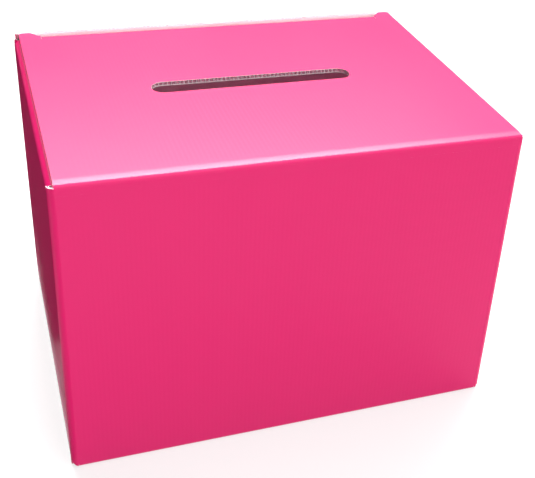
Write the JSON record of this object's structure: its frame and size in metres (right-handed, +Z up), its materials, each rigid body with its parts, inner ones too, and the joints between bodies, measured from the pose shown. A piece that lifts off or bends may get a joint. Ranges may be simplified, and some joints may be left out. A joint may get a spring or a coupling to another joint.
{
  "type": "entry box",
  "caption": "Folded twin-wall plastic box with a hinged tuck-in lid that has a posting slot with round ends.",
  "frame": {"origin": "on the floor under the middle of the closed box", "axes": "+X along the width to the viewer's right, -Y out of the front wall, +Z up"},
  "size_m": [0.35, 0.27, 0.25],
  "materials": {
    "printed_sheet": "gloss magenta print on the outer face of white twin-wall polypropylene sheet",
    "bare_sheet": "unprinted white twin-wall polypropylene, on the inner face and the cut edges"
  },
  "bodies": {
    "box": {"front_wall": "printed_sheet", "rear_wall": "printed_sheet", "left_wall": "printed_sheet", "right_wall": "printed_sheet", "seam_flap": "bare_sheet", "front_base_flap": "printed_sheet", "rear_base_flap": "printed_sheet", "left_base_flap": "bare_sheet", "right_base_flap": "bare_sheet"},
    "lid": {"lid_panel": "printed_sheet"},
    "tuck": {"tuck_flap": "printed_sheet"},
    "left_dust": {"left_dust_flap": "printed_sheet"},
    "right_dust": {"right_dust_flap": "printed_sheet"}
  },
  "joints": [
    {"name": "lid_hinge", "type": "hinge", "parent": "box", "child": "lid", "pos_m": [0, -0.13389, 0.24889], "axis": [1, 0, 0], "range_deg": [0, 175]},
    {"name": "tuck_crease", "type": "hinge", "parent": "lid", "child": "tuck", "pos_m": [0, 0.12533, 0.24883], "axis": [-1, 0, 0], "range_deg": [0, 30]},
    {"name": "left_dust_crease", "type": "hinge", "parent": "box", "child": "left_dust", "pos_m": [-0.17354, 0, 0.24454], "axis": [0, 1, 0], "range_deg": [0, 30]},
    {"name": "right_dust_crease", "type": "hinge", "parent": "box", "child": "right_dust", "pos_m": [0.17354, 0, 0.24454], "axis": [0, -1, 0], "range_deg": [0, 30]}
  ]
}
